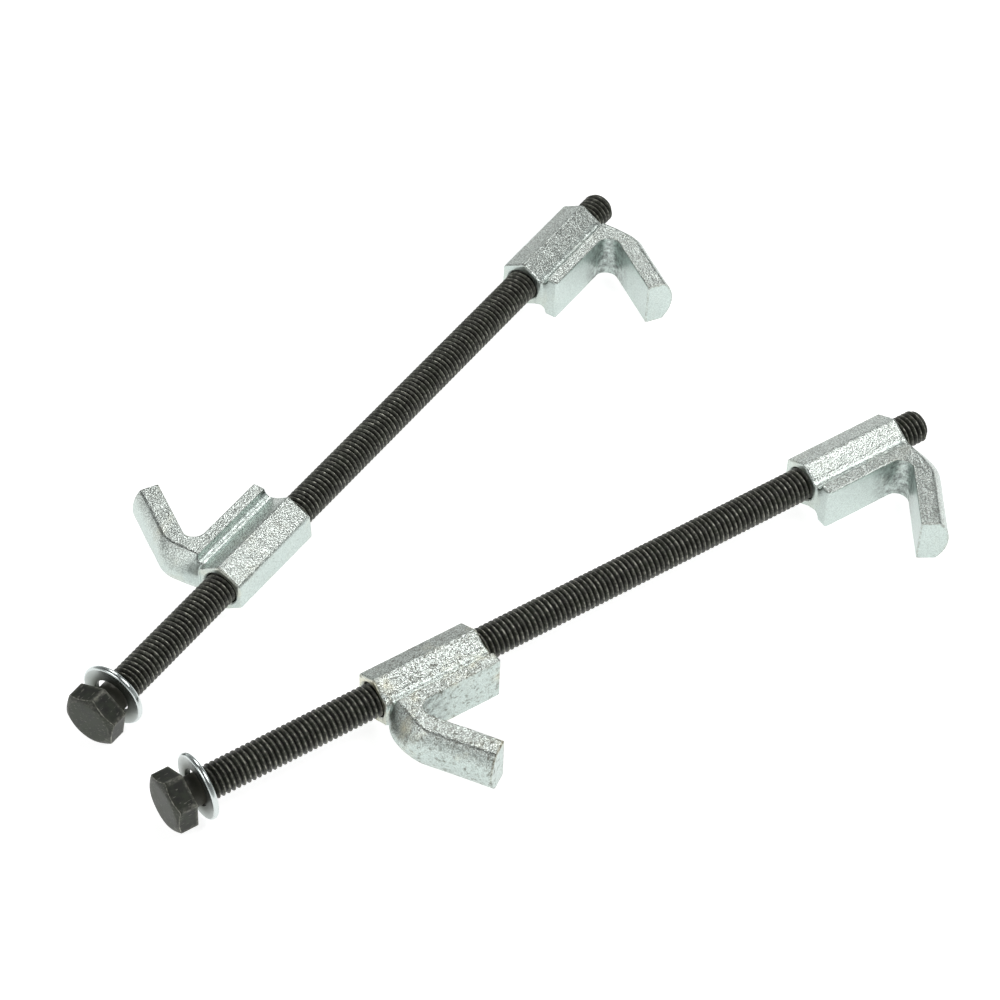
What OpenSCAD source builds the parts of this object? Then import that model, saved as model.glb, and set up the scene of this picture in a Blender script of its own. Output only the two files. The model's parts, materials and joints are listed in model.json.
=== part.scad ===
// Coil spring compressor: a pair of identical screw tools for car suspension springs.
// Each tool is a long hex bolt, a loose washer, a sliding claw and a threaded claw.
// Frame: +Z up, floor at Z = 0, both bolts lie level, and +X points from heads to tips.

/* [Bolt] */
// Outside diameter of the thread
thread_d = 14; // [12:0.5:18]
// Length under the head
shank_len = 351; // [250:1:420]
// Width of the head across its flats
head_af = 21.7; // [19:0.1:26]
// Thickness of the head
head_h = 9; // [8:0.1:11]
// Diameter of the plain neck under the head
neck_d = 12.8; // [10:0.1:13]
// Length of the plain neck
neck_len = 9.3; // [6:0.1:20]

/* [Washer] */
// Outside diameter of the washer
washer_od = 27.6; // [24:0.1:30]
// Hole of the washer
washer_id = 15.4; // [15:0.1:18]
// Thickness of the washer
washer_t = 2.5; // [1.5:0.1:4]

/* [Claw body] */
// Length of the hexagonal body
claw_len = 47.4; // [40:0.2:60]
// Width of the body across its flats
body_af = 20.2; // [18.4:0.1:22]
// Distance from the bolt's axis to the outer face of the rib
rib_face = 17.5; // [15:0.1:20]
// Height of the rib and of the finger
rib_h = 20.6; // [17:0.2:21]
// Diameter of the plain bore in the sliding claw
slide_bore_d = 14.8; // [14.7:0.1:15.6]
// Radial play between the bolt and the threaded claw
thread_play = 0.05; // [0.02:0.01:0.09]

/* [Hook] */
// Angle between the finger and the bolt
finger_angle = 57; // [45:1:65]
// Distance along the bolt from the body's end to the corner of the hook
corner_x = 5.3; // [3:0.1:8]
// Length of the finger from the hook's corner
finger_len = 39; // [30:0.5:45]
// Depth of the finger, from its spring side to its rounded back
finger_depth = 12.1; // [9:0.1:14]
// Radius of the seat that takes the spring wire
seat_r = 5; // [3:0.1:7]
// Radius of the outside of the bend
bend_r = 16; // [14:0.5:20]
// Radius of the rounding across the finger's back
back_r = 14.5; // [10.6:0.1:15.8]

/* [Layout] */
// Angle between each bolt and the X axis
splay = 10.95; // [8:0.05:25]
// Middle of the left head's face
left_head = [-172.6, 46.7]; // [-400:0.1:400]
// Middle of the right head's face
right_head = [-179.7, -4.3]; // [-400:0.1:400]
// Distance from the left head's face to the left sliding claw
left_slide_at = 83.1; // [60:0.1:120]
// Distance from the right head's face to the right sliding claw
right_slide_at = 92.6; // [60:0.1:120]
// Distance from the left head's face to the outer end of its threaded claw
left_nut_at = 344.9; // [250:0.1:350]
// Distance from the right head's face to the outer end of its threaded claw
right_nut_at = 346; // [250:0.1:350]
// Distance from a head's face to the washer's near side
washer_at = [14.4, 14.2]; // [12:0.1:50]
// Angle that each head is turned on its axis, left and right
head_roll = [11.3, 3.3]; // [0:0.1:60]

/* [Hidden] */
$fn = 96;
eps = 0.01;
over = 1;
far = 100;
hex_sides = 6;
head_flat_share = 0.9;
head_corner_r = head_af / 2 / cos(30);
head_flat_r = head_flat_share * head_af / 2;
head_bevel = (head_corner_r - head_flat_r) * tan(30);
bolt_len = head_h + shank_len;
thread_depth = 1.3;
tip_bevel = 1.6;
tip_r = thread_d / 2 - thread_depth;
runout = 0.6;
washer_gap = 0.3;
washer_rise = (washer_id - neck_d) / 2 - washer_gap;
axis_h = washer_od / 2 - washer_rise;
washer_bevel = 0.4;
body_corner_r = body_af / 2 / cos(30);
body_round = 0.3;
groove_r = 2.9;
groove_at = [9.3, 9.5];
bore_bevel = 0.7;
rib_in = groove_at[0] - groove_r / 2;
along = [cos(finger_angle), sin(finger_angle)];
outward = [-sin(finger_angle), cos(finger_angle)];
corner = [corner_x, rib_face];
seat_run = seat_r / tan(finger_angle / 2);
seat_mid = corner + [seat_run, seat_r];
bend_proud = 3.5;
bend_x = bend_r - bend_proud;
bend_y = corner[1] + (finger_depth - bend_r + sin(finger_angle) * (bend_x - corner_x)) / cos(finger_angle);
bend_mid = [bend_x, bend_y];
finger_start = (bend_mid - corner) * along;
seam_lap = 3;
seam_step = 0.02;
seam_angle = 90 + finger_angle - seam_lap;
seam_side = [cos(seam_angle), sin(seam_angle)];
core_lap = 1;
finger_flat = finger_depth - back_r + sqrt(pow(back_r, 2) - pow(rib_h / 2, 2));
finger_edge = corner + finger_len * along + finger_flat * outward;
lean = asin(axis_h / norm([rib_h / 2, finger_edge[1]])) - atan2(rib_h / 2, finger_edge[1]);

// Solid of revolution that runs along X from its first station
module along_x() {
    rotate([0, 90, 0])
        children();
}

// Hexagonal bar along X with a corner at the top
module hex_bar(corner_r, length) {
    along_x()
        cylinder(r = corner_r, h = length, $fn = hex_sides);
}

// Head bevelled on its outer face, plain neck and threaded shank with a bevelled tip
module bolt(roll) {
    color([0.17, 0.17, 0.15]) {
        rotate([roll, 0, 0])
            intersection() {
                hex_bar(head_corner_r, head_h);
                along_x()
                    union() {
                        cylinder(r1 = head_flat_r, r2 = head_corner_r + eps, h = head_bevel);
                        translate([0, 0, head_bevel])
                            cylinder(r = head_corner_r + eps, h = head_h - head_bevel);
                    }
            }
        along_x()
            union() {
                translate([0, 0, head_h - eps])
                    cylinder(d = neck_d, h = neck_len + 2 * eps);
                translate([0, 0, head_h + neck_len])
                    cylinder(d1 = neck_d, d2 = thread_d, h = runout);
                translate([0, 0, head_h + neck_len + runout])
                    cylinder(d = thread_d, h = shank_len - neck_len - runout - tip_bevel);
                translate([0, 0, bolt_len - tip_bevel])
                    cylinder(r1 = thread_d / 2, r2 = tip_r, h = tip_bevel);
            }
    }
}

// Flat washer with bevelled rims, hanging on the neck
module washer(at) {
    color([0.78, 0.80, 0.79])
        translate([at, 0, washer_rise])
            along_x()
                difference() {
                    union() {
                        cylinder(r1 = washer_od / 2 - washer_bevel, r2 = washer_od / 2, h = washer_bevel);
                        translate([0, 0, washer_bevel])
                            cylinder(d = washer_od, h = washer_t - 2 * washer_bevel);
                        translate([0, 0, washer_t - washer_bevel])
                            cylinder(r1 = washer_od / 2, r2 = washer_od / 2 - washer_bevel, h = washer_bevel);
                    }
                    translate([0, 0, -over])
                        cylinder(d = washer_id, h = washer_t + 2 * over);
                }
}

// Hexagonal body with its corners knocked off
module claw_body() {
    intersection() {
        hex_bar(body_corner_r, claw_len);
        along_x()
            cylinder(r = body_corner_r - body_round, h = claw_len);
    }
}

// Straight rib on the hook side of the body
module rib() {
    translate([bend_mid[0], rib_in, -rib_h / 2])
        cube([claw_len - bend_mid[0], rib_face - rib_in, rib_h]);
}

// Outside of the bend: the finger's section turned about the middle of the bend, a hair
// smaller so that it runs on inside the finger where the two join
module bend() {
    translate([bend_mid[0], bend_mid[1], 0])
        intersection() {
            rotate_extrude()
                intersection() {
                    translate([bend_r - back_r, 0])
                        circle(r = back_r - seam_step);
                    translate([0, -rib_h / 2])
                        square([bend_r, rib_h]);
                }
            translate([0, 0, -rib_h / 2])
                linear_extrude(rib_h)
                    polygon([[0, 0], far * seam_side, [-far, 0], [-far, -far], [0, -far]]);
        }
}

// Fill between the bend's middle and the flat spring side
module bend_core() {
    translate([0, 0, -rib_h / 2])
        linear_extrude(rib_h)
            polygon([corner, [seat_mid[0], rib_face - core_lap], seat_mid,
                     corner + seat_run * along + core_lap * outward]);
}

// Finger with a flat spring side and a rounded back, cut square at its tip
module finger() {
    translate([corner[0], corner[1], 0])
        rotate([0, 0, finger_angle - 90])
            translate([0, finger_start, 0])
                rotate([-90, 0, 0])
                    linear_extrude(finger_len - finger_start)
                        intersection() {
                            translate([back_r - finger_depth, 0])
                                circle(r = back_r);
                            translate([-finger_depth, -rib_h / 2])
                                square([finger_depth, rib_h]);
                        }
}

// Forged claw: +X runs from the hook's end along the bolt, +Y points at the hook
module claw(bore_d) {
    color([0.70, 0.74, 0.72])
        difference() {
            union() {
                claw_body();
                rib();
                bend();
                bend_core();
                finger();
            }
            translate([seat_mid[0], seat_mid[1], -rib_h])
                cylinder(r = seat_r, h = 2 * rib_h);
            for (side = [-1, 1])
                translate([-over, groove_at[0], side * groove_at[1]])
                    along_x()
                        cylinder(r = groove_r, h = claw_len + 2 * over);
            translate([-over, 0, 0])
                along_x()
                    cylinder(d = bore_d, h = claw_len + 2 * over);
            translate([-eps, 0, 0])
                along_x()
                    cylinder(d1 = bore_d + 2 * bore_bevel, d2 = bore_d, h = bore_bevel);
            translate([claw_len - bore_bevel + eps, 0, 0])
                along_x()
                    cylinder(d1 = bore_d, d2 = bore_d + 2 * bore_bevel, h = bore_bevel);
        }
}

// Sliding claw: its hook is at the head's end; turned = 180 puts the hook on the right
module sliding_claw(at, turned) {
    translate([at, 0, 0])
        rotate([turned == 0 ? -lean : turned + lean, 0, 0])
            claw(slide_bore_d);
}

// Threaded claw: its hook is at the tip's end and on the right of the bolt
module threaded_claw(at) {
    translate([at, 0, 0])
        rotate([lean, 0, 0])
            rotate([0, 0, 180])
                claw(thread_d + 2 * thread_play);
}

// Places a tool's own frame, with X along the bolt from the head's face
module place(head, angle) {
    translate([head[0], head[1], axis_h])
        rotate([0, 0, angle])
            children();
}

module left_bolt() {
    place(left_head, splay)
        bolt(head_roll[0]);
}

module left_washer() {
    place(left_head, splay)
        washer(washer_at[0]);
}

module left_sliding_claw() {
    place(left_head, splay)
        sliding_claw(left_slide_at, 0);
}

module left_threaded_claw() {
    place(left_head, splay)
        threaded_claw(left_nut_at);
}

module right_bolt() {
    place(right_head, -splay)
        bolt(head_roll[1]);
}

module right_washer() {
    place(right_head, -splay)
        washer(washer_at[1]);
}

module right_sliding_claw() {
    place(right_head, -splay)
        sliding_claw(right_slide_at, 180);
}

module right_threaded_claw() {
    place(right_head, -splay)
        threaded_claw(right_nut_at);
}

left_bolt();
left_washer();
left_sliding_claw();
left_threaded_claw();
right_bolt();
right_washer();
right_sliding_claw();
right_threaded_claw();
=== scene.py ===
import json
import math

import bmesh
import bpy
import numpy as np
from mathutils import Matrix, Vector


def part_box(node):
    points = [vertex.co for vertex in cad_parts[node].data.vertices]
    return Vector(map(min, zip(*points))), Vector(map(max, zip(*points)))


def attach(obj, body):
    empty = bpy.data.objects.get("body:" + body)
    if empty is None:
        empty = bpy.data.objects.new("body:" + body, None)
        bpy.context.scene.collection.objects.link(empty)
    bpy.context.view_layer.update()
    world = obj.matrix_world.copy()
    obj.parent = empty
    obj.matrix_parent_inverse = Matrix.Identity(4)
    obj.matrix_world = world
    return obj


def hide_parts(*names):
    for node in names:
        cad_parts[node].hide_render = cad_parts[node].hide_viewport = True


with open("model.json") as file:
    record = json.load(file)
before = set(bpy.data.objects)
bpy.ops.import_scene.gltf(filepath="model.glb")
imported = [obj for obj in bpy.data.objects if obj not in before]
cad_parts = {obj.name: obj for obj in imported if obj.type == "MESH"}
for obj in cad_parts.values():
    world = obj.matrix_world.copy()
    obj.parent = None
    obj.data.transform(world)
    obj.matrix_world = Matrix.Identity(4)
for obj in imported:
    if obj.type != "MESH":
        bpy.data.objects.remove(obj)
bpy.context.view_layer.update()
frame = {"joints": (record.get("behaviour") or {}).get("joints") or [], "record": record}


# ---------------------------------------------------------------- Bolts
# One long hexagon-head bolt carries each tool. It is a single piece of steel: the head is forged, the neck
# is left plain and the right-hand thread is rolled. It is blackened, oiled, and rubbed bright on its edges.

# Sizes are in millimetres, and MM turns them into metres.
MM = 0.001
SIDES = ("left", "right")

tool_frame = {}
for joint in frame["joints"]:
    if joint["name"].endswith("_bolt_turn"):
        forward = Vector(joint["axis"]).normalized()
        level = Vector((0, 0, 1)).cross(forward)
        turned = Matrix((forward, level, forward.cross(level))).transposed().to_4x4()
        tool_frame[joint["child"].split("_")[0]] = Matrix.Translation(Vector(joint["pos_m"])) @ turned

head_flats = 21.7
head_thick = 9.0
head_face_r = 9.66
head_bevel_slope = math.tan(math.radians(30))
head_turn = {"left": math.radians(11.3), "right": math.radians(3.3)}
neck_r = 6.4
thread_start = 18.3
bolt_end = 360.0
tip_bevel = 1.6
tip_r = 5.55
tip_rubbed = 0.2
thread_r = 7.0
root_r = 5.68
pitch = 2.25
fade_turns = 1.1
corner_gap = 1.4  # degrees from a corner of the hexagon to the nearest column of points
columns_per_flat = 10
corner_rubbed = 0.45
flat_rings = (2.4, 3.6, 5.0, 6.4, 7.6)

# Round rings of the head's face: distance along, radius, and how far each is rubbed.
face_rings = (
    (0.0, 3.0, 0.0),
    (0.0, 6.0, 0.0),
    (0.0, head_face_r - 0.45, 0.0),
    (0.05, head_face_r, 0.2),
)

# Where the face's bevel meets the flats: distance past the meeting line, depth under the flat, and rubbing.
bevel_rings = (
    (-0.18, 0.32, 0.1),
    (0.02, 0.05, 1.0),
    (0.28, 0.0, 0.1),
)

# The head's other edge: distance from its under-side, depth under the flat, and rubbing.
under_rings = (
    (0.4, 0.0, 0.4),
    (0.1, 0.2, 0.9),
    (0.0, 0.6, 0.2),
)

# Round rings from the under-side to the neck: distance past it and radius.
neck_rings = (
    (0.0, 8.2),
    (0.15, neck_r + 0.5),
    (0.7, neck_r),
    (4.0, neck_r),
)

# One turn of the thread from root to root: distance along it in pitches, radius, and rubbing.
thread_form = (
    (0.00, root_r, 0.0),
    (0.15, root_r, 0.0),
    (0.46, thread_r - 0.10, 0.4),
    (0.52, thread_r, 1.0),
    (0.62, thread_r, 1.0),
    (0.68, thread_r - 0.10, 0.4),
)

# Points this near to each other become one, and edges shorter than this go.
weld_reach = 0.002 * MM
shortest_edge = 0.0001 * MM

columns = [
    math.radians(60 * flat + spot)
    for flat in range(6)
    for spot in np.linspace(corner_gap - 30, 30 - corner_gap, columns_per_flat)
]


def hexagon_radius(angle):
    """Distance from the axis to the head's flats, with a flat's middle at angle 0."""
    from_flat = (math.degrees(angle) + 30) % 60 - 30
    return head_flats / 2 / math.cos(math.radians(from_flat))


def head_rings():
    """Rings from the head's face to the neck. Each column has its distance along, radius and rubbing."""
    hexagon = [hexagon_radius(a) for a in columns]
    meets = [(r - head_face_r) * head_bevel_slope for r in hexagon]
    at_corner = [i % columns_per_flat in (0, columns_per_flat - 1) for i in range(len(columns))]
    rings = [[ring for _ in columns] for ring in face_rings]
    for past, under, rubbed in bevel_rings:
        rings.append([(m + past, r - under, rubbed) for m, r in zip(meets, hexagon)])
    for x in flat_rings:
        rings.append([(x, r, corner_rubbed * corner) for r, corner in zip(hexagon, at_corner)])
    for before, under, rubbed in under_rings:
        rings.append([(head_thick - before, r - under, rubbed) for r in hexagon])
    for past, r in neck_rings:
        rings.append([(head_thick + past, r, 0.0) for _ in columns])
    return rings


def thread_point(x, radius, rubbed):
    """A thread point at x. The thread grows out of the neck, and the tip's bevel cuts it back."""
    if x <= thread_start:
        return thread_start, neck_r, 0.0
    if x >= bolt_end:
        return bolt_end, tip_r, tip_rubbed
    grown = min((x - thread_start) / (fade_turns * pitch), 1)
    grown = grown * grown * (3 - 2 * grown)
    bevel = tip_r + (bolt_end - x) * (thread_r - tip_r) / tip_bevel
    return x, min(neck_r + (radius - neck_r) * grown, bevel), rubbed * grown


def shaded(mesh, sharp_above):
    """Shades a mesh smooth, with hard edges where its faces meet at more than this many degrees."""
    mesh.shade_smooth()
    mesh.set_sharp_from_angle(angle=math.radians(sharp_above))
    return mesh


def bolt_mesh(name, turn_of_head, place):
    """The whole bolt as one closed skin along X. The thread's rows climb one pitch in each turn."""
    rings = head_rings()
    points = list(rings)
    steps = len(thread_form)
    turns = math.ceil((bolt_end - thread_start) / pitch) + 2
    for row in range(-2 * steps, turns * steps):
        turn, step = divmod(row, steps)
        start, radius, rubbed = thread_form[step]
        at = thread_start + pitch * (turn + start)
        points.append([thread_point(at + pitch * a / math.tau, radius, rubbed) for a in columns])
    count, last = len(columns), len(points) - 1

    shape = bmesh.new()
    rubbed_layer = shape.verts.layers.float.new("rubbed")
    for ring in points:
        for a, (x, r, rubbed) in zip(columns, ring):
            turned_by = a + turn_of_head
            v = shape.verts.new((MM * x, MM * r * math.cos(turned_by), MM * r * math.sin(turned_by)))
            v[rubbed_layer] = rubbed
    shape.verts.ensure_lookup_table()
    for row in range(last):
        for i in range(count):
            j = (i + 1) % count
            climb = steps if j == 0 and row >= len(rings) else 0
            low, high = min(row + climb, last), min(row + 1 + climb, last)
            ring = (row * count + i, (row + 1) * count + i, high * count + j, low * count + j)
            ring = list(dict.fromkeys(ring))
            if len(ring) > 2:
                shape.faces.new([shape.verts[k] for k in ring])
    shape.faces.new(shape.verts[:count])
    shape.faces.new(shape.verts[last * count:])
    bmesh.ops.remove_doubles(shape, verts=shape.verts, dist=weld_reach)
    bmesh.ops.dissolve_degenerate(shape, edges=shape.edges, dist=shortest_edge)
    bmesh.ops.recalc_face_normals(shape, faces=shape.faces)
    shape.transform(place)
    mesh = bpy.data.meshes.new(name)
    shape.to_mesh(mesh)
    shape.free()
    return shaded(mesh, sharp_above=28)


class Signal:
    """An output of a shader node. Adding or multiplying signals and numbers adds the Math nodes."""

    def __init__(self, tree, socket=None):
        self.tree = tree
        self.socket = socket

    def node(self, kind, sockets, output=0, stops=None, **settings):
        """A new node: its settings are set first, then its sockets get their values or links."""
        made = self.tree.nodes.new(kind)
        for setting, value in settings.items():
            setattr(made, setting, value)
        for place, (at, colour) in enumerate(stops or []):
            ends = made.color_ramp.elements
            stop = ends[place] if place < len(ends) else ends.new(at)
            stop.position, stop.color = at, colour
        for socket, value in sockets.items():
            if isinstance(value, Signal):
                self.tree.links.new(value.socket, made.inputs[socket])
            else:
                made.inputs[socket].default_value = value
        return Signal(self.tree, made.outputs[output]) if made.outputs else made

    def math(self, operation, *values):
        return self.node("ShaderNodeMath", dict(enumerate(values)), operation=operation)

    def __add__(self, other):
        return self.math("ADD", self, other)

    __radd__ = __add__

    def __sub__(self, other):
        return self.math("SUBTRACT", self, other)

    def __rsub__(self, other):
        return self.math("SUBTRACT", other, self)

    def __mul__(self, other):
        return self.math("MULTIPLY", self, other)

    __rmul__ = __mul__


def new_finish(name):
    """An empty material, with a signal to start its nodes from and its surface shader."""
    material = bpy.data.materials.new(name)
    material.use_nodes = True
    surface = material.node_tree.nodes["Principled BSDF"]
    return material, Signal(material.node_tree), surface


def spots(where, scale, detail, roughness):
    """Cloudy noise, with about that many spots to the metre."""
    sockets = {"Vector": where, "Scale": scale, "Detail": detail, "Roughness": roughness}
    return where.node("ShaderNodeTexNoise", sockets)


def mark(start, title):
    """What the mesh says about each point under this title."""
    return start.node("ShaderNodeAttribute", {}, output="Fac", attribute_name=title)


def between(signal, low, high):
    """0 below low, 1 above high and smooth in between."""
    sockets = {"Value": signal, "From Min": low, "From Max": high}
    return signal.node("ShaderNodeMapRange", sockets, interpolation_type="SMOOTHSTEP")


def tinted(amount, under, over):
    """Mixes two colours, from under at 0 to over at 1."""
    return amount.node("ShaderNodeMix", {0: amount, 6: under, 7: over}, output=2, data_type="RGBA")


def joined(start, surface, **sockets):
    """Feeds signals to a surface shader's sockets, whose names have spaces where these have none."""
    for socket, value in sockets.items():
        start.tree.links.new(value.socket, surface.inputs[socket.replace("_", " ")])


black_oxide = (0.007, 0.007, 0.005, 1)
# The lighter oxide colour serves both the real thin patches and the painted light on the head and neck.
thin_oxide_and_painted_light = (0.025, 0.032, 0.018, 1)
# The neck's lighter oxide is painted light: it stands in for the highlight along the plain neck.
neck_painted_light = (0.075, 0.075, 0.058, 1)
bare_steel = (0.40, 0.40, 0.34, 1)
colour_step = 0.6 * MM
face_depth = (0.01 * MM, 0.08 * MM)
least_rubbed = 0.24
patchy_rubbed = 0.7
scratch_shine = 0.3
oiled_gloss = 0.3

# Noise on the bolts: spots to the metre, detail and roughness.
oxide_clouds = (260, 4, 0.6)
oxide_grain = (2600, 2, 0.6)
rubbed_patches = (700, 3, 0.6)
scratch_lines = (900, 1, 0.4)


def blacking(name, place):
    """Oiled black oxide: cloudy, thinner in places, and rubbed through to steel on edges and crests. The
    head, its face most, and the plain neck are painted lighter, as painted light.
    """
    material, start, surface = new_finish(name)
    here = start.node("ShaderNodeTexCoord", {}, output="Object")
    undone = place.inverted()
    where = start.node(
        "ShaderNodeMapping", {"Vector": here, "Location": undone.translation, "Rotation": undone.to_euler()}
    )
    along = start.node("ShaderNodeSeparateXYZ", {0: where}, output="X")
    past_head = between(along, head_thick * MM, head_thick * MM + colour_step)
    past_neck = between(along, thread_start * MM, thread_start * MM + colour_step)
    on_head = 1 - past_head
    face_painted_light = on_head - between(along, *face_depth) * on_head

    clouds = spots(where, *oxide_clouds)
    # Painted light: the head, and its face most, are pushed towards the lighter oxide, on top of the real
    # cloudy thinning.
    thinning_and_painted_light = between(clouds + on_head * 0.08 + face_painted_light * 0.12, 0.38, 0.8)
    oxide = tinted(thinning_and_painted_light, black_oxide, thin_oxide_and_painted_light)
    # Painted light: the plain neck between head and thread is given the lighter colour.
    oxide = tinted(past_head - past_neck, oxide, neck_painted_light)

    patches = between(spots(where, *rubbed_patches), 0.42, 0.66)
    bare = mark(start, "rubbed") * (least_rubbed + patchy_rubbed * patches)
    stretched = start.node("ShaderNodeMapping", {"Vector": where, "Scale": (0.35, 0.5, 3.0)})
    scratch = between(spots(stretched, *scratch_lines), 0.66, 0.72) * on_head
    worn = start.math("MAXIMUM", bare, scratch * scratch_shine)

    grain = spots(where, *oxide_grain)
    relief = start.node("ShaderNodeBump", {"Strength": 0.5, "Distance": 0.05 * MM, "Height": grain})
    joined(
        start,
        surface,
        Base_Color=tinted(worn, oxide, bare_steel),
        Metallic=worn * 0.8,
        Roughness=0.34 + clouds * 0.2 - worn * 0.1,
        Normal=relief,
    )
    surface.inputs["Specular IOR Level"].default_value = oiled_gloss
    return material


def stands_for(node, name, mesh, material):
    """A finished piece that is shown for its CAD node, and rides on the body of the same name."""
    piece = bpy.data.objects.new(name, mesh)
    bpy.context.scene.collection.objects.link(piece)
    mesh.materials.append(material)
    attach(piece, node)
    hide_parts(node)


for side in SIDES:
    node = f"{side}_bolt"
    mesh = bolt_mesh(node, head_turn[side], tool_frame[side])
    steel = blacking(f"{side}_blacking", tool_frame[side])
    stands_for(node, f"{side}_screw", mesh, steel)


# ---------------------------------------------------------------- Washers
# A flat washer sits loose on each bolt's neck and takes the head's thrust as the bolt is turned. It is
# stamped from steel plate, tumbled until its rims are round, and plated with bright zinc.

washer_r = 13.8
washer_hole_r = 7.7
washer_thick = 2.5
outer_rim = 1.1
hole_rim = 0.4
bright_rim = 1.6 * outer_rim
washer_segments = 128
rim_steps = 6


def washer_profile():
    """The washer's section as (distance along, radius), once round, with quarter-round rims."""
    half = washer_thick / 2
    outline = []
    for corner_x, corner_r, rim in (
        (-half, washer_r, outer_rim),
        (half, washer_r, outer_rim),
        (half, washer_hole_r, hole_rim),
        (-half, washer_hole_r, hole_rim),
    ):
        inward_x = math.copysign(rim, -corner_x)
        inward_r = rim if corner_r == washer_hole_r else -rim
        clockwise = (corner_x > 0) != (corner_r == washer_hole_r)
        for step in range(rim_steps + 1):
            share = step / rim_steps if clockwise else 1 - step / rim_steps
            angle = math.pi / 2 * share
            x = corner_x + inward_x * (1 - math.sin(angle))
            r = corner_r + inward_r * (1 - math.cos(angle))
            outline.append((x, r))
    return outline


def washer_mesh(name, place):
    """The section turned about X."""
    outline = washer_profile()
    shape = bmesh.new()
    rim_layer = shape.verts.layers.float.new("rim")
    rings = []
    for turn in range(washer_segments):
        angle = math.tau * turn / washer_segments
        rings.append([
            shape.verts.new((MM * x, MM * r * math.cos(angle), MM * r * math.sin(angle)))
            for x, r in outline
        ])
        for (_, r), v in zip(outline, rings[-1]):
            v[rim_layer] = min(max((r - washer_r + bright_rim) / outer_rim, 0), 1)
    for ring, following in zip(rings, rings[1:] + rings[:1]):
        for i in range(len(outline)):
            shape.faces.new((ring[i], following[i], following[i - 1], ring[i - 1]))
    bmesh.ops.recalc_face_normals(shape, faces=shape.faces)
    shape.transform(place)
    mesh = bpy.data.meshes.new(name)
    shape.to_mesh(mesh)
    shape.free()
    return shaded(mesh, sharp_above=50)


bright_zinc = (0.64, 0.69, 0.68, 1)
dull_zinc = (0.50, 0.54, 0.54, 1)
# The faces' colour is a painted dark reflection, far darker than the zinc itself.
painted_face_reflection = (0.13, 0.145, 0.12, 1)

# Noise on the washers: spots to the metre, detail and roughness.
tumbled_waves = (220, 2, 0.5)
washer_grain = (2200, 2, 0.5)
washer_scuffs = (900, 4, 0.7)


def bright_plate(name):
    """Bright zinc plate: faintly wavy from tumbling, scuffed, and rougher on the faces than on the rim. The
    faces are painted dark as a painted reflection; only the rim keeps the zinc's colour.
    """
    material, start, surface = new_finish(name)
    where = start.node("ShaderNodeTexCoord", {}, output="Object")
    rim = mark(start, "rim")
    scuffs = between(spots(where, *washer_scuffs), 0.58, 0.72)
    height = spots(where, *tumbled_waves) + spots(where, *washer_grain) * 0.18
    relief = start.node("ShaderNodeBump", {"Strength": 0.5, "Distance": 0.08 * MM, "Height": height})
    # Painted reflection: the faces take the dark colour and only the rim keeps the zinc's.
    joined(
        start,
        surface,
        Base_Color=tinted(rim, painted_face_reflection, tinted(scuffs * 0.7, bright_zinc, dull_zinc)),
        Roughness=0.42 - rim * 0.2 + scuffs * 0.2,
        Normal=relief,
    )
    surface.inputs["Metallic"].default_value = 1.0
    return material


for side in SIDES:
    node = f"{side}_washer"
    low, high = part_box(node)
    middle = Matrix.Translation((low + high) / 2) @ tool_frame[side].to_3x3().to_4x4()
    mesh = washer_mesh(node, middle)
    stands_for(node, f"{side}_ring", mesh, bright_plate(f"{side}_plate"))


# ---------------------------------------------------------------- Sliding claws
# The claw near the head has a plain bore and slides on the bolt. It is one drop forging: a hexagonal body,
# a rib along one side and a hooked finger. It is blasted with grit, machined on its ends and zinc plated.

body_long = 47.4
body_flats = 20.2
body_crown_r = 11.45
rib_face = 17.5
rib_half = 10.3
rib_bottom = 7.6
finger_turn = math.radians(57)
hook_corner = np.array((5.3, rib_face))
finger_long = 39.0
finger_deep = 12.1
finger_back_r = 14.5
wire_seat_r = 5.0
bend_r = 16.0
bend_mid = np.array((12.5, 21.4))
root_top_x = 3.2
root_fullness = 1.6
groove_mid = (9.3, 9.5)
bore_bevel = 0.7
slide_bore_r = 7.4

# Radii of the broken edges and fillets.
facet_edge_r = 0.9
crown_edge_r = 0.5
body_end_r = 1.0
rib_end_r = 1.2
rib_edge_r = 0.6
finger_end_r = 0.45
root_blend_r = 2.0
rib_fillet_r = 1.2
groove_edge_r = 0.8
bore_edge_r = 0.15

hexagon_slope = math.radians(60)
groove_from_axis = math.cos(hexagon_slope) * groove_mid[0] + math.sin(hexagon_slope) * groove_mid[1]
groove_r = groove_from_axis - body_flats / 2
finger_way = np.array((math.cos(finger_turn), math.sin(finger_turn)))
finger_out = np.array((-math.sin(finger_turn), math.cos(finger_turn)))
wire_seat = hook_corner + (wire_seat_r / math.tan(finger_turn / 2), wire_seat_r)
back_mid = finger_deep - finger_back_r


def rounded_inside(a, b, r):
    """What lies inside both distances, with the edge between them rounded to radius r."""
    beyond = np.hypot(np.maximum(a + r, 0), np.maximum(b + r, 0))
    return np.minimum(np.maximum(a, b), -r) + beyond


def rounded_either(a, b, r):
    """What lies inside either distance, with a fillet of radius r between them."""
    return -rounded_inside(-a, -b, r)


def wedge(x, y):
    """Distance into the metal from the open side of the hook, whose corner has the wire seat's radius."""
    dx, dy = x - wire_seat[0], y - wire_seat[1]
    from_rib = -dy
    from_finger = dx * finger_out[0] + dy * finger_out[1]
    cosine = -finger_out[1]
    in_seat = (from_rib > cosine * from_finger) & (from_finger > cosine * from_rib)
    return np.where(in_seat, np.hypot(dx, dy), np.maximum(from_rib, from_finger)) - wire_seat_r


wander = np.random.default_rng(7)
wave_count = 14
wave_height = 0.012
shortest_wave = 4.5
longest_wave = 17.0
waves = [
    (direction / np.linalg.norm(direction), math.tau / length, phase)
    for direction, length, phase in zip(
        wander.normal(size=(wave_count, 3)),
        wander.uniform(shortest_wave, longest_wave, wave_count),
        wander.uniform(0, math.tau, wave_count),
    )
]


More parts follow.
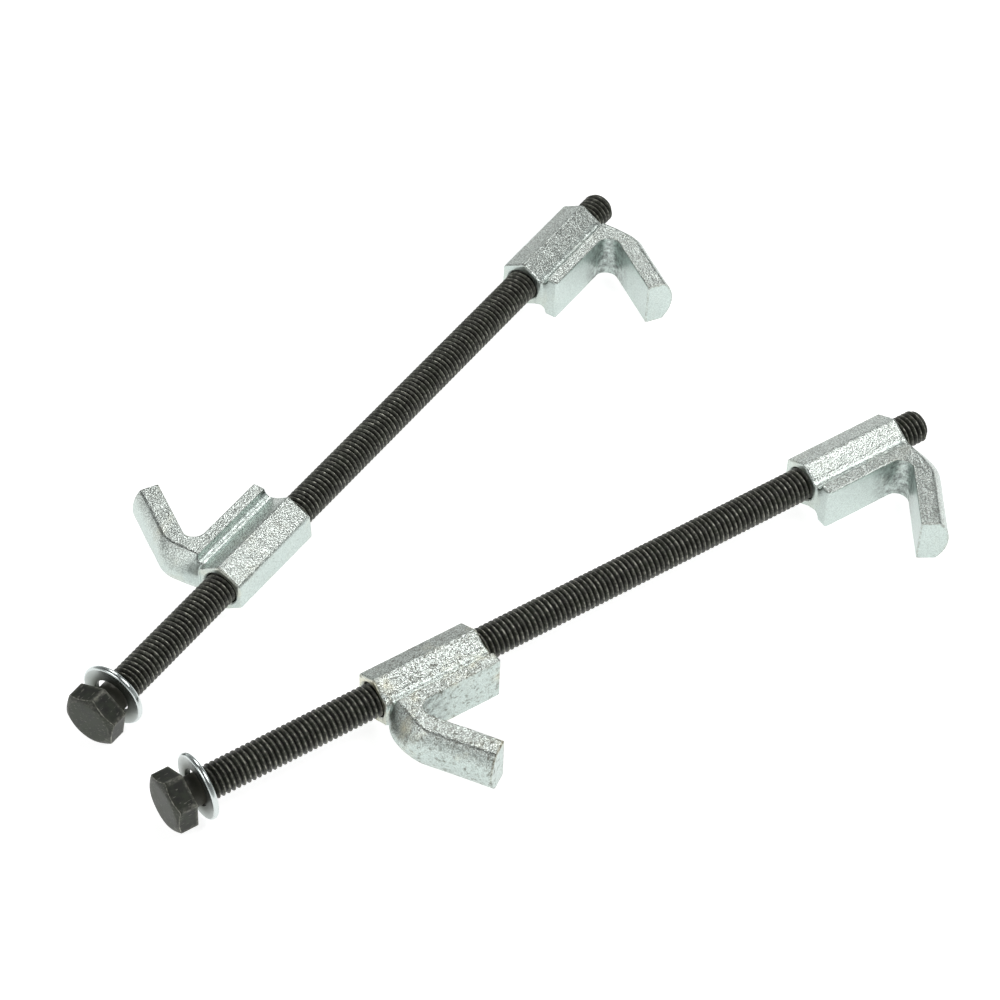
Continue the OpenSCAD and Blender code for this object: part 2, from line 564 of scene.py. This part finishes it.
def forging(x, y, z):
    """Distance in millimetres from the skin of the claw's forging, before it is bored."""
    up = np.abs(z)
    uneven = sum(
        wave_height * np.sin(pace * (d[0] * x + d[1] * y + d[2] * z) + phase)
        for d, pace, phase in waves
    )

    # The body: a hexagonal bar with crowned flats and rounded ends.
    facets = math.cos(hexagon_slope) * np.abs(y) + math.sin(hexagon_slope) * up - body_flats / 2
    facets = rounded_inside(facets, np.abs(y) - body_flats / 2, facet_edge_r)
    crown_round = np.hypot(y, z) - body_crown_r
    bar = rounded_inside(facets, crown_round, crown_edge_r)
    ends = np.maximum(-x, x - body_long)
    bar = rounded_inside(bar + uneven, ends, body_end_r)

    # The hook: rib and finger in one, with a rounded back that hollows into a root beside the body.
    depth = (x - hook_corner[0]) * finger_out[0] + (y - hook_corner[1]) * finger_out[1]
    reach = (x - hook_corner[0]) * finger_way[0] + (y - hook_corner[1]) * finger_way[1]
    back = np.hypot(np.maximum(depth - back_mid, 0), z) - finger_back_r
    below = np.clip(bend_mid[1] - y, 0, bend_r)
    bulge = np.maximum(root_top_x - bend_mid[0] + np.sqrt(bend_r**2 - below**2), 0)
    root = root_top_x - bulge * (1 - np.clip(up / rib_half, 0, 1) ** root_fullness) - x
    skin = rounded_inside(back, root, root_blend_r)
    hook = rounded_inside(np.maximum(skin, -wedge(x, y)), up - rib_half, rib_edge_r)
    hook = rounded_inside(hook + uneven, reach - finger_long, finger_end_r)
    hook = rounded_inside(hook, x - body_long, rib_end_r)
    hook = np.maximum(hook, rib_bottom - y)

    # A groove runs along both faces between the body and the rib.
    solid = rounded_either(bar, hook, rib_fillet_r)
    groove = np.hypot(y - groove_mid[0], up - groove_mid[1]) - groove_r
    return rounded_inside(solid, -groove + uneven, groove_edge_r)


def bored(x, y, z, bore_r):
    """The forging with its bore and the bevels at the bore's mouths."""
    mouth = np.maximum(bore_bevel - np.minimum(x, body_long - x), 0)
    bore = np.hypot(y, z) - bore_r - mouth
    return rounded_inside(forging(x, y, z), -bore, bore_edge_r)


slope_reach = 0.05


def slopes(shape, points):
    """How fast a distance grows at each point along X, Y and Z."""
    grown = []
    for axis in range(3):
        step = np.zeros(3)
        step[axis] = slope_reach
        grown.append((shape(*(points + step).T) - shape(*(points - step).T)) / (2 * slope_reach))
    return np.array(grown).T


def skinned(shape, low, high, cell):
    """Points and four-sided faces on the surface where a distance is zero, one point to a cell."""
    sides = [np.arange(a, b + cell, cell) for a, b in zip(low, high)]
    value = shape(*np.meshgrid(*sides, indexing="ij"))
    inside = value < 0
    size = np.array(value.shape) - 1

    # Each cell's point is the middle of the places where the surface crosses the cell's edges.
    total = np.zeros((*size, 3))
    count = np.zeros(size)
    crossings = []
    for axis in range(3):
        across = [a for a in range(3) if a != axis]
        near = np.take(value, range(size[axis]), axis)
        far = np.take(value, range(1, size[axis] + 1), axis)
        cut = (near < 0) != (far < 0)
        share = np.where(cut, near / np.where(cut, near - far, 1), 0)
        for shift_a in (0, 1):
            for shift_b in (0, 1):
                window = [slice(None)] * 3
                window[across[0]] = slice(shift_a, shift_a + size[across[0]])
                window[across[1]] = slice(shift_b, shift_b + size[across[1]])
                here = cut[tuple(window)]
                count += here
                total[..., axis] += here * share[tuple(window)]
                total[..., across[0]] += here * shift_a
                total[..., across[1]] += here * shift_b
        crossings.append((axis, across, cut))
    used = count > 0
    number = np.full(size, -1)
    number[used] = np.arange(used.sum())
    points = np.argwhere(used) + total[used] / count[used][:, None]
    points = np.array(low) + points * cell

    # Each crossed edge gives one face, which joins the points of the four cells around it.
    faces = []
    for axis, across, cut in crossings:
        at = np.argwhere(cut)
        at = at[(at[:, across[0]] > 0) & (at[:, across[1]] > 0)]
        leaving = inside[tuple(at.T)]
        ring = []
        for back_a, back_b in ((0, 0), (1, 0), (1, 1), (0, 1)):
            cell_at = at.copy()
            cell_at[:, across[0]] -= back_a
            cell_at[:, across[1]] -= back_b
            ring.append(number[tuple(cell_at.T)])
        quads = np.array(ring).T
        flip = leaving if axis == 1 else ~leaving
        quads[flip] = quads[flip][:, ::-1]
        faces.append(quads)
    return points, np.concatenate(faces)


# The space that is searched for the claw's skin, and how far its marks reach.
claw_low = (-4.8, -11.0, -12.0)
claw_high = (48.6, 58.0, 12.0)
claw_cell = 0.45
settle_steps = 4
least_steep = 0.2
probe = 0.9
seat_shade_reach = 7.0
body_reach = 13.0
near_groove = 0.1
groove_blasted = 0.5


def claw_skin(bore_r):
    """The finished claw: its points, faces and normals, and marks for where it is worn and where painted
    shade darkens the faces by the wire seat.
    """
    def shape(x, y, z):
        return bored(x, y, z, bore_r)

    points, faces = skinned(shape, claw_low, claw_high, claw_cell)
    for _ in range(settle_steps):
        slope = slopes(shape, points)
        steep = np.maximum((slope**2).sum(1), least_steep)
        points = points - slope * (shape(*points.T) / steep)[:, None]
    normal = slopes(shape, points)
    normal /= np.linalg.norm(normal, axis=1)[:, None]
    ridge = 1 + shape(*(points - probe * normal).T) / probe
    # Painted shade: upright faces near the wire seat are marked for darkening, fading with distance from
    # it.
    from_seat = np.hypot(points[:, 0] - wire_seat[0], points[:, 1] - wire_seat[1]) - wire_seat_r
    seat_shade = (1 - from_seat / seat_shade_reach) * (np.abs(normal[:, 2]) < 0.5)
    ending = np.abs(normal[:, 0]) * (np.hypot(points[:, 1], points[:, 2]) < body_reach)
    from_groove = np.hypot(points[:, 1] - groove_mid[0], np.abs(points[:, 2]) - groove_mid[1]) - groove_r
    blasted = np.abs(normal[:, 2]) * np.where(np.abs(from_groove) > near_groove, 1, groove_blasted)
    return points, faces, normal, {"ridge": ridge, "seat_shade": seat_shade, "ending": ending, "blasted": blasted}


def claw_mesh(name, skin, place):
    """The claw's skin as a mesh in its place, with its marks as attributes."""
    points, faces, normal, marks = skin
    turned = np.array(place.to_3x3())
    mesh = bpy.data.meshes.new(name)
    mesh.vertices.add(len(points))
    mesh.vertices.foreach_set("co", (MM * points @ turned.T + np.array(place.translation)).ravel())
    mesh.loops.add(faces.size)
    mesh.loops.foreach_set("vertex_index", faces.ravel())
    mesh.polygons.add(len(faces))
    mesh.polygons.foreach_set("loop_start", np.arange(0, faces.size, 4))
    for title, values in marks.items():
        layer = mesh.attributes.new(title, "FLOAT", "POINT")
        layer.data.foreach_set("value", np.clip(values, 0, 1).astype(np.float32))
    mesh.update(calc_edges=True)
    mesh.shade_smooth()
    mesh.normals_split_custom_set_from_vertices(normal @ turned.T)
    return mesh


bright_grain = (0.76, 0.82, 0.78, 1)
dark_grain = (0.36, 0.385, 0.36, 1)
smooth_zinc = (0.55, 0.64, 0.61, 1)
# A dark colour painted into the wire seat as shade.
seat_painted_shade = (0.20, 0.22, 0.21, 1)
yellow_zinc = (0.70, 0.68, 0.53, 1)
pit_brown = (0.15, 0.135, 0.10, 1)
smooth_share = 0.25
grain_relief = 0.21 * MM

# Noise on the claws: spots to the metre, detail and roughness.
blasted_grain = (1800, 1, 0.5)
forged_dents = (260, 2, 0.5)
plating_clouds = (75, 3, 0.6)
rust_pits = (520, 4, 0.75)
rust_specks = (1400, 3, 0.7)
ridge_pits = (1000, 3, 0.7)
seat_shade_mottle = (420, 4, 0.7)


def blasted_plate(name, pitting, yellowing):
    """Zinc over a blasted forging: a hard bright grain, dark pits, yellow passivate on the ends, and
    painted shade by the wire seat.
    """
    material, start, surface = new_finish(name)
    where = start.node("ShaderNodeTexCoord", {}, output="Object")
    near_edge = between(mark(start, "ridge"), 0.10, 0.35)
    coarse = between(mark(start, "blasted"), 0.15, 0.8)
    grain = spots(where, *blasted_grain)
    clouds = spots(where, *plating_clouds)

    grained = tinted(between(grain, 0.40, 0.60), dark_grain, bright_grain)
    colour = tinted(coarse * (1 - smooth_share) + smooth_share, smooth_zinc, grained)
    yellow = between(clouds + near_edge * 0.12 + mark(start, "ending") * 0.2, 0.52, 0.86) * yellowing
    colour = tinted(yellow, colour, yellow_zinc)
    # Painted shade: mottled dark patches on the upright faces by the wire seat.
    shade_mottle = between(spots(where, *seat_shade_mottle), 0.36, 0.66)
    colour = tinted(mark(start, "seat_shade") * shade_mottle, colour, seat_painted_shade)

    pits = between(spots(where, *rust_pits), 0.70 - 0.14 * pitting, 0.80 - 0.10 * pitting)
    specks = between(spots(where, *rust_specks), 0.62 - 0.05 * pitting, 0.72 - 0.05 * pitting)
    edge_pits = between(spots(where, *ridge_pits), 0.42, 0.58) * near_edge
    stained = start.math("MAXIMUM", pits * 0.65, specks * 0.45)
    stained = start.math("MAXIMUM", stained, edge_pits * (0.4 + 0.3 * pitting))
    colour = tinted(stained, colour, pit_brown)

    height = grain * (0.3 + coarse * 0.7) + spots(where, *forged_dents) * 0.9
    relief = start.node("ShaderNodeBump", {"Strength": 1.0, "Distance": grain_relief, "Height": height})
    joined(
        start,
        surface,
        Base_Color=colour,
        Roughness=0.3 + clouds * 0.1 + pits * 0.3,
        Normal=relief,
    )
    surface.inputs["Metallic"].default_value = 1.0
    return material


def claw_frame(node, side, facing):
    """Where a claw is: X along the bolt (facing 1) or against it (-1), and Y from the bolt to the hook."""
    mounts = frame["record"]["mounts"]
    mount = next(m for m in mounts if m["name"] == f"{node}_spring_seat")
    seat = Vector(mount["pos_m"])
    centre = tool_frame[side].translation
    bolt_way = tool_frame[side].col[0].to_3d()
    out = seat - centre
    out = (out - bolt_way * out.dot(bolt_way)).normalized()
    way = bolt_way * facing
    origin = seat - way * float(MM * wire_seat[0]) - out * float(MM * wire_seat[1])
    turned = Matrix((way, out, way.cross(out))).transposed().to_4x4()
    return Matrix.Translation(origin) @ turned


def add_claws(kind, name, bore_r, facing, wear):
    """Both tools' claws of one kind. Wear gives each side's pitting and yellowing."""
    skin = claw_skin(bore_r)
    for side, (pitting, yellowing) in zip(SIDES, wear):
        node = f"{side}_{kind}"
        mesh = claw_mesh(node, skin, claw_frame(node, side, facing))
        plate = blasted_plate(f"{node}_plate", pitting, yellowing)
        stands_for(node, f"{side}_{name}", mesh, plate)


add_claws("sliding_claw", "plain_claw", slide_bore_r, facing=1, wear=((0.6, 0.45), (1.35, 1.1)))


# ---------------------------------------------------------------- Threaded claws
# The claw near the tip is the same forging turned end for end. Its bore is tapped, so it is the nut of the
# screw: as the bolt turns, it is drawn towards the head and the two hooks close up the spring.

nut_bore_r = 7.05

add_claws("threaded_claw", "nut_claw", nut_bore_r, facing=-1, wear=((0.2, 0.15), (0.4, 0.2)))


# ---------------------------------------------------------------- Studio
# The tools lie on a white table in a grey room, under three soft boxes. The camera looks down on them past
# their heads.

table_r = 2.6
table_segments = 96
table_grey = (0.6, 0.6, 0.6, 1)
table_glow = 0.84
table = bpy.data.meshes.new("table")
table_angles = [math.tau * i / table_segments for i in range(table_segments)]
table_rim = [(table_r * math.cos(a), table_r * math.sin(a), 0) for a in table_angles]
table.from_pydata(table_rim, [], [range(table_segments)])
floor = bpy.data.objects.new("floor", table)
bpy.context.scene.collection.objects.link(floor)
paper, _, surface = new_finish("white_table")
surface.inputs["Base Color"].default_value = table_grey
surface.inputs["Roughness"].default_value = 0.9
surface.inputs["Specular IOR Level"].default_value = 0.0
surface.inputs["Emission Color"].default_value = (1, 1, 1, 1)
surface.inputs["Emission Strength"].default_value = table_glow
table.materials.append(paper)


def soft_box(name, towards, distance, size, power):
    """A square soft box that shines on the tools from a direction. Its power is in watts."""
    lamp = bpy.data.lights.new(name, "AREA")
    lamp.size = size
    lamp.energy = power
    box = bpy.data.objects.new(name, lamp)
    bpy.context.scene.collection.objects.link(box)
    way = Vector(towards).normalized()
    box.location = way * distance
    box.rotation_euler = way.to_track_quat("Z", "Y").to_euler()


soft_box("key_box", (0.36, -0.40, 0.84), distance=1.5, size=0.7, power=7.6)
soft_box("back_box", (0.40, 0.47, 0.78), distance=1.35, size=0.5, power=3.6)
soft_box("head_box", (-0.9, 0.2, 0.6), distance=1.6, size=0.8, power=5)

# The room's glow against height, from the table's level up.
room_glow = [
    (0.0, (0.55, 0.58, 0.57, 1)),
    (0.30, (0.30, 0.31, 0.31, 1)),
    (0.7, (0.11, 0.11, 0.11, 1)),
]
backdrop = (1.1, 1.1, 1.1, 1)

room = bpy.data.worlds.new("room")
bpy.context.scene.world = room
room.use_nodes = True
room.node_tree.nodes.clear()
start = Signal(room.node_tree)
direction = start.node("ShaderNodeTexCoord", {}, output="Generated")
height = start.node("ShaderNodeSeparateXYZ", {0: direction}, output="Z")
shade = start.node("ShaderNodeValToRGB", {0: height}, stops=room_glow)
seen = start.node("ShaderNodeLightPath", {}, output="Is Camera Ray")
walls = tinted(seen, shade, backdrop)
light = start.node("ShaderNodeBackground", {"Color": walls, "Strength": 1.0})
start.node("ShaderNodeOutputWorld", {"Surface": light})

camera_at = Vector((-0.6768, -0.6750, 1.0186))
camera_aim = Vector((0.0295, 0.0271, 0.00095))
focal_length = 125.7

lens = bpy.data.cameras.new("camera")
lens.lens = focal_length
camera = bpy.data.objects.new("camera", lens)
bpy.context.scene.collection.objects.link(camera)
camera.location = camera_at
camera.rotation_euler = (camera_aim - camera_at).to_track_quat("-Z", "Y").to_euler()
bpy.context.scene.camera = camera
bpy.context.scene.view_settings.view_transform = "Standard"
